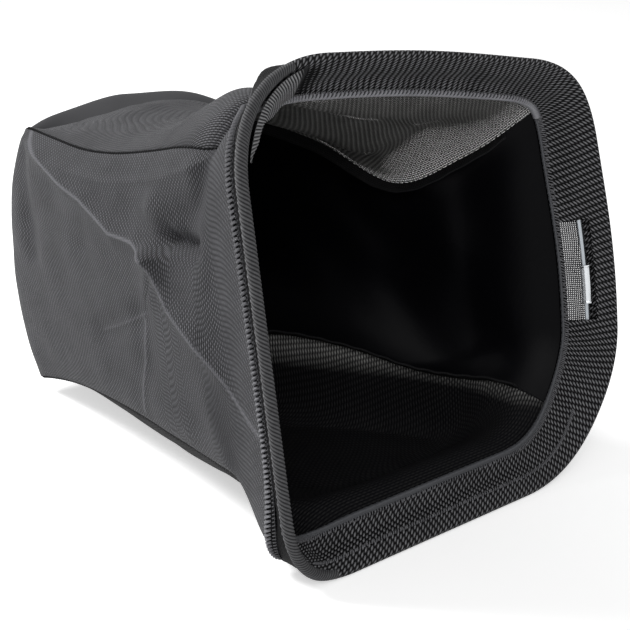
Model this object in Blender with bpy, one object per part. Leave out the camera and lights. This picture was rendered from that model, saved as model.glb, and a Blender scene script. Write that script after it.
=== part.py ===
"""Grass bag of a walk-behind mower: four sewn cloth panels on a wire mouth frame, lying on its lower side.

The mouth faces -Y and leans back, the flat mesh wall is on the -X side and the closed end is at +Y.
Every panel is read from one surface. There q runs once round the bag: 0 to 1 is the lower gusset, 1 to 2
the coated wall, 2 to 3 the upper gusset and 3 to 4 the near wall. And s runs from the mouth, 0, to the
closed end, 1. Round the mouth, depth is the distance from the lip along the casing.
"""

import bmesh
import bpy
import numpy as np

# Mouth, in metres and degrees. Corners are in the order of q: near low, far low, far top, near top.
MOUTH_WIDTH = 0.364
NEAR_SIDE_SHIFT = 0.009
MOUTH_NEAR_HEIGHT = 0.392
MOUTH_FAR_HEIGHT = 0.346
MOUTH_TOP_SHIFT = 0.004
MOUTH_LEAN = 13.0
MOUTH_TOP_BOW = 0.006
MOUTH_FAR_BOW = 0.012
CORNER_REACH = (0.14, 0.40, 0.17, 0.26)
LOW_CORNER_SWELL = 0.012
TOP_CORNER_SWELL = 0.020

# Body of the bag
BAG_LENGTH = 0.498
END_HEIGHT = 0.250
END_BOW = 0.041
COATED_BULGE = 0.064
COATED_LIFT = 0.052
LOWER_SAG = 0.076
UPPER_CROWN = 0.030
CROWN_EASE = 0.3
RIDGE_HEIGHT = 0.030
RIDGE_PLACE = (0.80, 0.22)
RIDGE_SPREAD = (0.16, 0.13)
PILLOW = 0.009
SEAM_REACH = 0.015
GUSSET_NARROWEST = 0.012
FIRST_ROW = 0.012
HEM_GAP = 0.0006
LAP_CLEARANCE = 0.0006

# Cloth and sewing
CLOTH = 0.0010
CLEARANCE = 0.0003
SEAM_SETBACK = 0.0017
ALLOWANCE_WIDTH = 0.009
ALLOWANCE_THICKNESS = 0.0022
NEAR_SEAM_STRIP = (0.18, 0.86)
FAR_SEAM_STRIP = (0.10, 0.86)
END_SEAM_STRIP = (0.08, 0.92)
STITCH_CLEARANCE = 0.0008
THREAD = 0.0012
ZIGZAG_WIDTH = 0.0024
ZIGZAG_STITCHES = 36
ZIGZAG_REACH = (3.06, 3.82)

# Casing round the mouth, with its wire
CASING_WIDTH = 0.042
FAR_CASING_WIDTH = 0.049
ROLL_WIDTH = 0.012
WIRE_DIAMETER = 0.005
WIRE_PLAY = 0.0007
WIRE_DEPTH_LOW = 0.015
WIRE_DEPTH_FAR = 0.026
LIP_RADIUS = 0.0028
WIRE_END_GAP = 0.002
FERRULE_DIAMETER = 0.0090
FERRULE_LENGTH = 0.035
FERRULE_COLLAR = 0.0004
FERRULE_HEIGHT = 0.155
WINDOW_HEIGHT = 0.168
WINDOW_LENGTH = 0.092
WINDOW_FRONT = 0.018
WINDOW_MARGIN = 0.006

# The four seams from the mouth to the closed end, read at these values of s. Each row is across, along
# and up, in percent of the mouth's width, of the bag's length and of the height at that place.
SEAM_STATIONS = (0.0, 0.12, 0.25, 0.40, 0.53, 0.65, 0.80, 0.92, 1.0)
NEAR_LOW_SEAM = (
    (1.6, 4.1, 7.7), (3.3, 14.4, 12.0), (4.4, 26.1, 14.0), (4.6, 39.5, 14.6), (4.9, 51.0, 14.8),
    (4.9, 61.7, 14.3), (5.2, 74.4, 11.9), (5.5, 84.2, 7.7), (5.5, 89.2, 4.8),
)
FAR_LOW_SEAM = (
    (94.3, 7.8, 8.7), (82.8, 18.9, 12.3), (71.0, 30.2, 15.7), (58.5, 42.6, 21.8), (47.5, 53.3, 24.6),
    (37.2, 63.0, 21.7), (24.6, 75.1, 12.9), (13.1, 84.7, 6.5), (5.5, 89.2, 4.8),
)
FAR_TOP_SEAM = (
    (95.1, 21.2, 76.5), (83.9, 29.4, 68.8), (73.0, 39.7, 62.6), (60.1, 51.2, 76.7), (49.2, 60.9, 87.1),
    (38.8, 70.4, 95.8), (26.8, 81.1, 96.3), (16.9, 89.1, 95.6), (9.8, 93.2, 103.2),
)
NEAR_TOP_SEAM = (
    (3.3, 17.5, 88.0), (6.6, 25.7, 84.8), (7.7, 36.0, 83.9), (8.2, 48.4, 83.9), (8.2, 59.1, 84.9),
    (8.5, 68.9, 87.4), (9.0, 80.2, 93.4), (9.6, 88.9, 99.1), (9.8, 93.2, 103.2),
)

# Folds of the near wall: their lines as (s, height up the wall), then height in metres and half width.
# The first is the long crease that runs down from the closed end's upper corner.
NEAR_WALL_FOLDS = (
    (((0.95, 1.0), (0.75, 0.89), (0.61, 0.82), (0.50, 0.72), (0.41, 0.70), (0.35, 0.65)), 0.0040, 0.012),
    (((0.35, 0.65), (0.34, 0.57), (0.31, 0.49), (0.22, 0.40), (0.14, 0.36), (0.08, 0.33)), 0.0035, 0.011),
    (((0.43, 0.42), (0.44, 0.26), (0.48, 0.04)), -0.0030, 0.016),
    (((0.42, 0.44), (0.59, 0.31)), -0.0030, 0.013),
    (((0.36, 0.66), (0.42, 0.44)), 0.0030, 0.010),
    (((0.29, 0.76), (0.14, 0.81)), -0.0060, 0.017),
    (((0.34, 0.82), (0.29, 0.75)), 0.0070, 0.014),
    (((0.30, 0.72), (0.22, 0.69)), -0.0075, 0.011),
    (((0.50, 0.93), (0.38, 0.91)), -0.0035, 0.015),
    (((0.94, 0.99), (0.88, 0.75), (0.85, 0.50)), -0.0045, 0.013),
)
# Pleats of the upper gusset where it hangs from the casing, and of the lower one by its far seam
PLEAT_DEPTH = 0.009
PLEAT_START = 0.24
PLEAT_END = 0.07

# Sizes that follow from the others
LEAN = np.radians(MOUTH_LEAN)
UP_THE_MOUTH = np.array([0.0, np.sin(LEAN), np.cos(LEAN)])
BEHIND_THE_MOUTH = np.array([0.0, np.cos(LEAN), -np.sin(LEAN)])
FAR_OUTWARD = np.array([BAG_LENGTH, MOUTH_WIDTH, 0.0]) / np.hypot(BAG_LENGTH, MOUTH_WIDTH)
HEM_SPREAD = (CLOTH + CLEARANCE) / 2
WIRE_SPREAD = (WIRE_DIAMETER + CLOTH) / 2 + WIRE_PLAY
FERRULE_AT = 1.0 + FERRULE_HEIGHT / MOUTH_FAR_HEIGHT
WINDOW_START = 1.0 + (WINDOW_HEIGHT - WINDOW_LENGTH / 2) / MOUTH_FAR_HEIGHT
WINDOW_END = 1.0 + (WINDOW_HEIGHT + WINDOW_LENGTH / 2) / MOUTH_FAR_HEIGHT


def smoothstep(start, end, x):
    """0 before start, 1 after end, and a smooth rise between."""
    f = np.clip((x - start) / (end - start), 0.0, 1.0)
    return f * f * (3.0 - 2.0 * f)


def bump(x, centre, width):
    """A bell of height 1."""
    return np.exp(-(((x - centre) / width) ** 2))


def through(x, knots, values):
    """A smooth curve through a few points: cubic pieces whose slopes come from the neighbours."""
    knots, values = np.array(knots), np.array(values)
    slopes = np.gradient(values, knots, axis=0)
    i = np.clip(np.searchsorted(knots, x) - 1, 0, len(knots) - 2)
    width = (knots[i + 1] - knots[i])[..., None]
    f = (x[..., None] - knots[i][..., None]) / width
    level = values[i] * (1 + 2 * f) * (1 - f) ** 2 + values[i + 1] * f**2 * (3 - 2 * f)
    return level + width * (slopes[i] * f * (1 - f) ** 2 - slopes[i + 1] * f**2 * (1 - f))


def around(q, low, far, top, near):
    """A value that holds along each side of the mouth and changes smoothly round its corners."""
    sides = np.array([low, far, top, near])
    k = np.floor(np.mod(q, 4.0)).astype(int) % 4
    f = np.mod(q, 1.0)
    here, before, after = sides[k], sides[(k - 1) % 4], sides[(k + 1) % 4]
    entering = before + (here - before) * smoothstep(-0.25, 0.25, f)
    leaving = here + (after - here) * smoothstep(0.75, 1.25, f)
    return np.where(f < 0.5, entering, leaving)


def rounded(q, corners, reach):
    """A four-sided outline with rounded corners.

    It is the mean of the straight-sided outline from q - reach to q + reach. Along a side that is the side
    itself, and at a corner it is a parabola that touches both sides. The mean comes from running sums.
    """
    corners = np.broadcast_to(corners, q.shape + (4, 3))
    ends = np.roll(corners, -1, axis=-2)
    side_sums = (corners + ends) / 2
    sums_before = np.cumsum(side_sums, axis=-2) - side_sums

    def sum_up_to(x):
        turns, place = np.divmod(x, 4.0)
        k = np.minimum(place.astype(int), 3)
        f = (place - k)[..., None]
        row = k[..., None, None]
        start = np.take_along_axis(corners, row, axis=-2)[..., 0, :]
        end = np.take_along_axis(ends, row, axis=-2)[..., 0, :]
        before = np.take_along_axis(sums_before, row, axis=-2)[..., 0, :]
        return turns[..., None] * side_sums.sum(axis=-2) + before + start * f + (end - start) * f**2 / 2

    return (sum_up_to(q + reach) - sum_up_to(q - reach)) / (2 * reach)[..., None]


def fold_height(s, up, folds, long, tall):
    """The folds' relief at these places of a panel that is about so long and so tall."""
    place = np.stack([s * long, up * tall], axis=-1)
    relief = np.zeros(s.shape)
    for line, height, half_width in folds:
        points = np.array(line) * (long, tall)
        nearest = np.full(s.shape, np.inf)
        for start, end in zip(points[:-1], points[1:]):
            run = end - start
            share = np.clip(((place - start) @ run) / (run @ run), 0, 1)
            nearest = np.minimum(nearest, np.linalg.norm(place - start - share[..., None] * run, axis=-1))
        relief += height * np.exp(-((nearest / half_width) ** 2))
    return relief


def corner_reach(q):
    """How far the rounding of the mouth's corners reaches, as a share of the sides: level at each corner."""
    reaches = np.array(CORNER_REACH)
    k = np.floor(np.mod(q, 4.0)).astype(int) % 4
    here, after = reaches[k], reaches[(k + 1) % 4]
    return here + (after - here) * smoothstep(0.0, 1.0, np.mod(q, 1.0))


def lip_outline(q):
    """The lip in the mouth's own plane, as across, up and 0."""
    corners = np.array([
        [0.0, 0.0, 0.0],
        [MOUTH_WIDTH, 0.0, 0.0],
        [MOUTH_WIDTH + MOUTH_TOP_SHIFT, MOUTH_FAR_HEIGHT, 0.0],
        [NEAR_SIDE_SHIFT, MOUTH_NEAR_HEIGHT, 0.0],
    ])
    outline = rounded(q, corners, corner_reach(q))
    swell = np.sin(np.pi * np.mod(q, 1.0)) ** 2
    side = np.floor(np.mod(q, 4.0))
    outline[..., 0] += np.where(side == 1, MOUTH_FAR_BOW * swell, 0.0)
    outline[..., 1] += np.where(side == 2, MOUTH_TOP_BOW * swell, 0.0)
    return outline


def casing_point(q, depth, offset):
    """A place in the casing: this deep behind the lip, and this far outwards from its middle layer."""
    q, depth, offset = np.broadcast_arrays(q, depth, offset)
    step = 0.06
    outline = lip_outline(q)
    along = lip_outline(q + step) - lip_outline(q - step)
    along /= np.linalg.norm(along, axis=-1, keepdims=True)
    lip = outline[..., 1:2] * UP_THE_MOUTH
    lip[..., 0] += outline[..., 0]
    outward = -along[..., 0:1] * UP_THE_MOUTH
    outward[..., 0] += along[..., 1]
    funnel = np.radians(around(q, 48.0, 50.0, 44.0, 10.0))[..., None]
    backward = np.cos(funnel) * BEHIND_THE_MOUTH - np.sin(funnel) * outward
    sideways = np.sin(funnel) * BEHIND_THE_MOUTH + np.cos(funnel) * outward
    return lip + backward * depth[..., None] + sideways * offset[..., None]


def casing_width(q):
    return around(q, CASING_WIDTH, FAR_CASING_WIDTH, CASING_WIDTH, CASING_WIDTH)


def lip_radius(q):
    """The roll of cloth at the lip: tight round the wire on the near side and the top, softer elsewhere."""
    return around(q, LIP_RADIUS, LIP_RADIUS, WIRE_SPREAD, WIRE_SPREAD)


def wire_depth(q):
    return around(q, WIRE_DEPTH_LOW, WIRE_DEPTH_FAR, WIRE_SPREAD, WIRE_SPREAD)


def near_ferrule(q):
    """1 beside the ferrule, and 0 away from it."""
    return np.exp(-(((q - FERRULE_AT) / 0.11) ** 4))


def casing_spread(q, depth):
    """Half the distance between the casing's two layers, which part round the wire and the ferrule."""
    q, depth = np.broadcast_arrays(q, depth)
    radius = lip_radius(q)
    width = casing_width(q)
    closed_at = around(q, 1.0, 1.0, 1.0, ROLL_WIDTH / CASING_WIDTH + 0.1) * width
    layers = HEM_SPREAD + (radius - HEM_SPREAD) * (1 - smoothstep(radius, closed_at, depth))
    room = WIRE_SPREAD + (FERRULE_DIAMETER / 2 + FERRULE_COLLAR - WIRE_DIAMETER / 2) * near_ferrule(q)
    return layers + (room - layers) * bump(depth, wire_depth(q), 0.010) * (room > layers)


def outer_layer_end(q):
    """Where the casing's outer layer stops and the panels start: just behind the roll on the near side."""
    hem = casing_width(q) - 2 * CLOTH
    return hem + (ROLL_WIDTH - hem) * around(q, 0.0, 0.0, 0.0, 1.0)


def corner_swell(q, depth):
    """The cloth that stands out behind the lip at the two near corners."""
    low = LOW_CORNER_SWELL * bump(np.mod(q + 2.0, 4.0), 1.97, 0.13)
    top = TOP_CORNER_SWELL * bump(np.mod(q, 4.0), 2.86, 0.10)
    return (low + top) * smoothstep(0.004, 0.030, depth)


def casing_section(q):
    """The casing's middle layer at each q, from its outer edge over the lip to the inner edge."""
    radius, last = lip_radius(q), outer_layer_end(q)
    ridge = around(q, WIRE_DEPTH_LOW, WIRE_DEPTH_FAR, 0.017, 0.0085)
    outer = [last, (last + ridge) / 2, ridge, (ridge + radius) / 2]
    inner = [around(q, 0.0085, WINDOW_FRONT, 0.010, 0.010), around(q, WIRE_DEPTH_LOW, WIRE_DEPTH_FAR, 0.018, 0.018)]
    inner += [around(q, 0.025, 0.0345, 0.027, 0.027), casing_width(q) - WINDOW_MARGIN, casing_width(q)]
    turns = np.radians([90.0, 45.0, 0.0, -45.0, -90.0])
    depths = outer + [radius * (1 - np.cos(turn)) for turn in turns] + inner
    offsets = [casing_spread(q, depth) + corner_swell(q, depth) for depth in outer]
    offsets += [casing_spread(q, radius) * np.sin(turn) for turn in turns]
    offsets += [-casing_spread(q, depth) for depth in inner]
    return np.stack([casing_point(q, *place) for place in zip(depths, offsets)], axis=1)


def floor_level():
    """The height of the ground: the casing's lowest place."""
    return casing_section(np.linspace(0.0, 4.0, 200))[..., 2].min() - CLOTH / 2


def body_point(q, s):
    """The middle of the cloth of the four panels."""
    q, s = np.broadcast_arrays(q, s)
    turn = np.mod(q, 4.0)
    side = np.floor(turn)
    f = turn - side

    # Straight-sided sections between the seams, rounded at the corners near the mouth
    height = MOUTH_NEAR_HEIGHT + (END_HEIGHT - MOUTH_NEAR_HEIGHT) * s
    unit = np.stack([np.full_like(s, MOUTH_WIDTH), np.full_like(s, BAG_LENGTH), height], axis=-1) / 100
    seams = (NEAR_LOW_SEAM, FAR_LOW_SEAM, FAR_TOP_SEAM, NEAR_TOP_SEAM)
    corners = np.stack([through(s, SEAM_STATIONS, seam) * unit for seam in seams], axis=-2)
    reach = SEAM_REACH + (corner_reach(q) - SEAM_REACH) * (1 - smoothstep(0.0, 0.30, s))
    point = rounded(q, corners, reach)

    # Height up each wall, from 0 at the lower seam to 1 at the upper one
    up = np.where(side == 3, 1 - f, f)
    is_wall = (side == 1) | (side == 3)
    ends = (1 - np.exp(-(1 - s) / 0.03)) * smoothstep(0.0, 0.2, s)
    point[..., 1] += np.where(is_wall, END_BOW * (1 - np.abs(1 - 2 * up) ** 2.5) * smoothstep(0.5, 1.0, s), 0.0)

    # Near wall: a shallow pillow between its seams
    edge = (1 - np.exp(-up / 0.07)) * (1 - np.exp(-(1 - up) / 0.05)) * ends
    relief = fold_height(s, up, NEAR_WALL_FOLDS, BAG_LENGTH * 0.86, END_HEIGHT * 1.1)
    point[..., 0] -= np.where(side == 3, (PILLOW + relief) * edge, 0.0)

    # Coated wall: it leaves its seams outwards, and its upper part stands above the top seam
    fullness = np.sin(np.pi * s**2.2) ** 0.6
    roundness = 1 - np.abs(2 * up - 1) ** 3.5
    lift = COATED_LIFT * np.sin(np.pi * s**5) ** 0.6 * (up / 0.8) ** 4 * (1 - up) / 0.2
    point += np.where(side == 1, COATED_BULGE * fullness * roundness, 0.0)[..., None] * FAR_OUTWARD
    point[..., 2] += np.where(side == 1, lift, 0.0)

    # Gussets: the lower one sags and drops steeply from its far seam, the upper one is crowned
    sag = LOWER_SAG * np.sin(np.pi * np.minimum(s / 0.76, 1.0)) ** 0.7
    hang = (1 - np.exp(-f / 0.22)) * (1 - np.exp(-(1 - f) / 0.05))
    crown = UPPER_CROWN * np.sin(np.pi * f) ** 0.7 * np.sin(np.pi * s**0.6)
    crown *= 1 - CROWN_EASE * smoothstep(0.3, 0.6, s)
    pleat_at = PLEAT_START + (PLEAT_END - PLEAT_START) * np.minimum(s / 0.3, 1.0)
    pleat = PLEAT_DEPTH * bump(f, pleat_at, 0.07 + 0.1 * (0.3 - np.minimum(s, 0.3))) * (1 - smoothstep(0.25, 0.45, s))
    pleat *= (1 - np.exp(-f / 0.03)) * smoothstep(0.0, 0.06, s)
    point[..., 2] += np.where(side == 0, -sag * hang, 0.0) + np.where(side == 2, crown + pleat, 0.0)
    point[..., 2] = np.where(side == 0, np.maximum(point[..., 2], floor_level() + CLOTH / 2), point[..., 2])

    # Next to the casing the cloth runs straight on from its outer layer
    start = outer_layer_end(q) + HEM_GAP
    depth = start + s * BAG_LENGTH * 0.9
    spread = casing_spread(q, np.minimum(depth, casing_width(q)))
    lap = around(q, 0.0, 0.0, 0.0, LAP_CLEARANCE)
    collar = casing_point(q, depth, spread + corner_swell(q, depth) + lap)
    free_from = around(q, 0.0, 0.0, 0.0, 0.075)
    free = smoothstep(free_from, free_from + 0.16, s)[..., None]
    cloth = collar * (1 - free) + point * free

    # A ridge of the upper gusset, drawn tight from the mouth's near corner
    ridge = RIDGE_HEIGHT * bump(f, RIDGE_PLACE[0], RIDGE_SPREAD[0]) * bump(s, RIDGE_PLACE[1], RIDGE_SPREAD[1])
    ridge *= (1 - np.exp(-(1 - f) / 0.04)) * smoothstep(0.0, 0.05, s)
    cloth[..., 2] += np.where(side == 2, ridge, 0.0)
    return cloth


# Solids
def add_solid(name, points, faces, colour, roughness, metallic=0.0):
    """One closed body with outward faces and its own material."""
    used, faces = np.unique(faces, return_inverse=True)
    mesh = bpy.data.meshes.new(name)
    mesh.from_pydata(points.reshape(-1, 3)[used].tolist(), [], faces.reshape(-1, 3).tolist())
    form = bmesh.new()
    form.from_mesh(mesh)
    bmesh.ops.recalc_face_normals(form, faces=form.faces)
    if form.calc_volume(signed=True) < 0:
        bmesh.ops.reverse_faces(form, faces=form.faces)
    form.to_mesh(mesh)
    form.free()
    mesh.shade_smooth()
    material = bpy.data.materials.new(name)
    material.use_nodes = True
    shader = material.node_tree.nodes["Principled BSDF"]
    shader.inputs["Base Color"].default_value = (*colour, 1.0)
    shader.inputs["Roughness"].default_value = roughness
    shader.inputs["Metallic"].default_value = metallic
    mesh.materials.append(material)
    obj = bpy.data.objects.new(name, mesh)
    bpy.context.scene.collection.objects.link(obj)
    return obj


def cells(rows, columns, loop_rows=False, loop_columns=False):
    """The four corners of every cell of a grid of points, as indices. A loop joins its end to its start."""
    i, j = np.meshgrid(np.arange(rows - 1 + loop_rows), np.arange(columns - 1 + loop_columns), indexing="ij")
    right, below = (j + 1) % columns, (i + 1) % rows
    return np.stack([i * columns + j, below * columns + j, below * columns + right, i * columns + right], axis=-1)


def triangles(quads):
    quads = quads.reshape(-1, 4)
    return np.concatenate([quads[:, [0, 1, 2]], quads[:, [0, 2, 3]]])


def add_cloth(name, grid, colour, roughness, loop=False, keep=None):
    """A sheet of cloth whose middle is this grid of points: two layers, and a wall along every free edge."""
    wrapped = np.concatenate([grid[-1:], grid, grid[:1]]) if loop else grid
    normal = np.cross(np.gradient(wrapped, axis=0), np.gradient(wrapped, axis=1))
    normal = normal[1:-1] if loop else normal
    normal *= CLOTH / 2 / np.linalg.norm(normal, axis=-1, keepdims=True)
    points = np.stack([grid + normal, grid - normal])
    quads = cells(*grid.shape[:2], loop_rows=loop)
    quads = quads[keep] if keep is not None else quads.reshape(-1, 4)
    edges = np.concatenate([np.stack([quads[:, k], quads[:, (k + 1) % 4]], axis=-1) for k in range(4)])
    count = grid.shape[0] * grid.shape[1]
    codes = edges[:, 0] * count + edges[:, 1]
    free = edges[~np.isin(edges[:, 1] * count + edges[:, 0], codes)]
    walls = np.stack([free[:, 1], free[:, 0], free[:, 0] + count, free[:, 1] + count], axis=-1)
    front = triangles(quads)
    faces = np.concatenate([front, front[:, ::-1] + count, triangles(walls)])
    return add_solid(name, points, faces, colour, roughness)


def add_bar(name, rings, colour, roughness, metallic=0.0, loop=False):
    """A bar through rings of points: closed to a loop, or with a flat cap at both ends."""
    stations, corners = rings.shape[:2]
    faces = triangles(cells(stations, corners, loop_rows=loop, loop_columns=True))
    if not loop:
        fan = np.stack([np.zeros(corners - 2, int), np.arange(1, corners - 1), np.arange(2, corners)], axis=-1)
        faces = np.concatenate([faces, fan[:, ::-1], fan + (stations - 1) * corners])
    return add_solid(name, rings, faces, colour, roughness, metallic)


def rings_round(path, radius, corners, loop=False):
    """Circles round a path. The first corner points away from the middle of the mouth."""
    wrapped = np.concatenate([path[-1:], path, path[:1]]) if loop else path
    along = np.gradient(wrapped, axis=0)
    along = along[1:-1] if loop else along
    along /= np.linalg.norm(along, axis=-1, keepdims=True)
    away = path - casing_point(np.linspace(0.0, 4.0, 80), 0.0, 0.0).mean(axis=0)
    away -= along * np.sum(away * along, axis=-1, keepdims=True)
    away /= np.linalg.norm(away, axis=-1, keepdims=True)
    across = np.cross(along, away)
    turn = 2 * np.pi * np.arange(corners)[:, None] / corners
    radius = np.broadcast_to(radius, len(path))[:, None, None]
    ring = away[:, None] * np.cos(turn) + across[:, None] * np.sin(turn)
    return path[:, None] + radius * ring


def side_places(side):
    """Places along one side of the mouth: evenly, but on the far side with both ends of the window among them."""
    if side != 1:
        return np.linspace(side, side + 1.0, 17)
    below, above = np.linspace(1.0, WINDOW_START, 6), np.linspace(WINDOW_END, 2.0, 6)
    return np.concatenate([below[:-1], np.linspace(WINDOW_START, WINDOW_END, 7), above[1:]])


def seam_setback(q, s, direction):
    """How far in q a cloth's edge lies from its seam."""
    step = 0.006
    speed = np.linalg.norm(body_point(q + direction * step, s) - body_point(q, s), axis=-1) / step
    return np.minimum(SEAM_SETBACK / speed, 0.1)


def add_panel(name, side, last, rows, colour, roughness):
    """One of the four panels, set back from its seams, with a short first row that runs on from the casing."""
    s = np.concatenate([[0.0, FIRST_ROW], np.linspace(0.0, last, rows)[1:]])[:, None]
    f = side_places(side) - side
    start, end = seam_setback(side, s, 1.0), seam_setback(side + 1.0, s, -1.0)
    return add_cloth(name, body_point(side + start + (1 - start - end) * f, s), colour, roughness)


def add_allowance(name, root, before, after):
    """The two seam allowances, which stand inwards from a seam, halfway between the cloths that meet there.

    Seen along the seam, the bag's inside is to the left of the way that leads from one cloth to the other.
    """
    along = np.gradient(root, axis=0)
    before = (before - root) / np.linalg.norm(before - root, axis=-1, keepdims=True)
    after = (after - root) / np.linalg.norm(after - root, axis=-1, keepdims=True)
    across = after - before
    across /= np.linalg.norm(across, axis=-1, keepdims=True)
    inwards = np.cross(across, along)
    inwards /= np.linalg.norm(inwards, axis=-1, keepdims=True)
    cosine = np.sum(inwards * after, axis=-1, keepdims=True)
    clear = CLOTH / 2 + CLEARANCE
    near = np.maximum(clear + ALLOWANCE_THICKNESS / 2 * cosine, clear) / np.sqrt(1 - cosine**2)
    across = across * ALLOWANCE_THICKNESS / 2
    far = near + ALLOWANCE_WIDTH
    rings = [root + inwards * near - across, root + inwards * near + across]
    rings += [root + inwards * far + across, root + inwards * far - across]
    return add_bar(name, np.stack(rings, axis=1), (0.030, 0.030, 0.032), 0.9)


def add_seam(name, q, reach):
    s = np.linspace(*reach, 15)
    step = 0.03
    return add_allowance(name, body_point(q, s), body_point(q - step, s), body_point(q + step, s))


def add_end_seam():
    up = np.linspace(*END_SEAM_STRIP, 14)
    step = 0.03
    coated, near_wall = body_point(1.0 + up, 1.0 - step), body_point(4.0 - up, 1.0 - step)
    return add_allowance("end_seam", body_point(4.0 - up, 1.0), near_wall, coated)


def casing_samples():
    return np.concatenate([side_places(side)[:-1] for side in range(4)])


def add_casing():
    q = casing_samples()
    grid = casing_section(q)
    keep = np.ones((len(q), grid.shape[1] - 1), bool)
    in_window = (q > WINDOW_START - 1e-6) & (q < WINDOW_END - 1e-6)
    keep[in_window, -4:-1] = False
    return add_cloth("rim_casing", grid, (0.045, 0.045, 0.047), 0.85, loop=True, keep=keep)


def wire_path(q):
    return casing_point(q, wire_depth(q), 0.0)


def add_wire():
    """The mouth's wire, once round, with its two ends meeting inside the ferrule."""
    half_gap = WIRE_END_GAP / 2 / MOUTH_FAR_HEIGHT
    q = np.mod(casing_samples() - FERRULE_AT, 4.0)
    q = np.sort(q[(q > 2 * half_gap) & (q < 4.0 - 2 * half_gap)])
    q = FERRULE_AT + np.concatenate([[half_gap], q, [4.0 - half_gap]])
    return add_bar("mouth_wire", rings_round(wire_path(q), WIRE_DIAMETER / 2, 6), (0.50, 0.50, 0.51), 0.32, 1.0)


def add_ferrule():
    """The sleeve that joins the wire's ends: a tube with a small collar at both ends."""
    half = FERRULE_LENGTH / 2 / MOUTH_FAR_HEIGHT
    q = FERRULE_AT + half * np.array([-1.0, -0.93, -0.88, -0.30, 0.30, 0.88, 0.93, 1.0])
    outer = FERRULE_DIAMETER / 2 + FERRULE_COLLAR * np.array([1, 1, 0, 0, 0, 0, 1, 1])
    outside = rings_round(wire_path(q), outer, 12)
    inside = rings_round(wire_path(q), WIRE_DIAMETER / 2 + CLEARANCE, 12)
    rings = np.concatenate([outside, inside[::-1]])
    return add_bar("ferrule", rings, (0.42, 0.42, 0.44), 0.35, 1.0, loop=True)


def add_hem_stitch():
    q = casing_samples()
    depth = casing_width(q) - WINDOW_MARGIN / 2
    offset = -(casing_spread(q, depth) + CLOTH / 2 + STITCH_CLEARANCE + THREAD / 2)
    rings = rings_round(casing_point(q, depth, offset), THREAD / 2, 4, loop=True)
    return add_bar("hem_stitch", rings, (0.20, 0.20, 0.22), 0.7, loop=True)


def add_zigzag():
    """The stitch that joins the near wall to the casing's roll, on the outside."""
    q = np.linspace(*ZIGZAG_REACH, 2 * ZIGZAG_STITCHES + 1)
    step = np.where(np.arange(len(q)) % 2 == 0, -0.5, 0.5) * ZIGZAG_WIDTH
    depth = outer_layer_end(q) + HEM_GAP / 2 + step
    offset = casing_spread(q, depth) + corner_swell(q, depth) + LAP_CLEARANCE
    offset += CLOTH / 2 + STITCH_CLEARANCE + THREAD / 2
    rings = rings_round(casing_point(q, depth, offset), THREAD / 2, 3)
    return add_bar("rim_zigzag_stitch", rings, (0.020, 0.020, 0.022), 0.8)


def gusset_end(side):
    """How far towards the closed end a gusset goes: to where it is too narrow to sew."""
    s = np.linspace(0.5, 1.0, 201)
    width = np.linalg.norm(body_point(side + 0.999, s) - body_point(side + 0.001, s), axis=-1)
    return s[width > GUSSET_NARROWEST].max()


def main():
    for obj in list(bpy.data.objects):
        bpy.data.objects.remove(obj, do_unlink=True)

    mesh_colour = (0.060, 0.060, 0.064)
    coated_colour = (0.058, 0.058, 0.061)
    last = 1.0 - SEAM_SETBACK / BAG_LENGTH
    made = [
        add_panel("near_wall", 3, last, 28, mesh_colour, 0.9),
        add_panel("coated_wall", 1, last, 21, coated_colour, 0.6),
        add_panel("upper_gusset", 2, gusset_end(2), 16, mesh_colour, 0.9),
        add_panel("lower_gusset", 0, gusset_end(0), 16, mesh_colour, 0.9),
        add_casing(),
        add_wire(),
        add_ferrule(),
        add_seam("near_bottom_seam", 4.0, NEAR_SEAM_STRIP),
        add_seam("far_bottom_seam", 1.0, FAR_SEAM_STRIP),
        add_seam("far_top_seam", 2.0, FAR_SEAM_STRIP),
        add_seam("near_top_seam", 3.0, NEAR_SEAM_STRIP),
        add_end_seam(),
        add_hem_stitch(),
        add_zigzag(),
    ]

    # The origin goes under the middle of the bag, on the ground
    corners = np.concatenate([[vertex.co[:] for vertex in obj.data.vertices] for obj in made])
    low, high = corners.min(axis=0), corners.max(axis=0)
    shift = -np.array([(low[0] + high[0]) / 2, (low[1] + high[1]) / 2, low[2]])
    for obj in made:
        points = np.array([vertex.co[:] for vertex in obj.data.vertices]) + shift
        obj.data.vertices.foreach_set("co", points.ravel())
        obj.data.update()


main()
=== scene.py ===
# %% [markdown]
# # A mower's grass bag
# The bag is a wedge of four sewn cloths on a wire mouth: a flat mesh wall, a smooth coated wall that goes
# across to the closed end, and a mesh gusset above and below. A doubled strip of mesh, the casing, runs
# round the mouth and holds the wire. Here the solids of the bag are loaded first, and every cloth is then
# made again at a finer grain in the same place, so that it can show its weave, folds and stitches.

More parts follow.
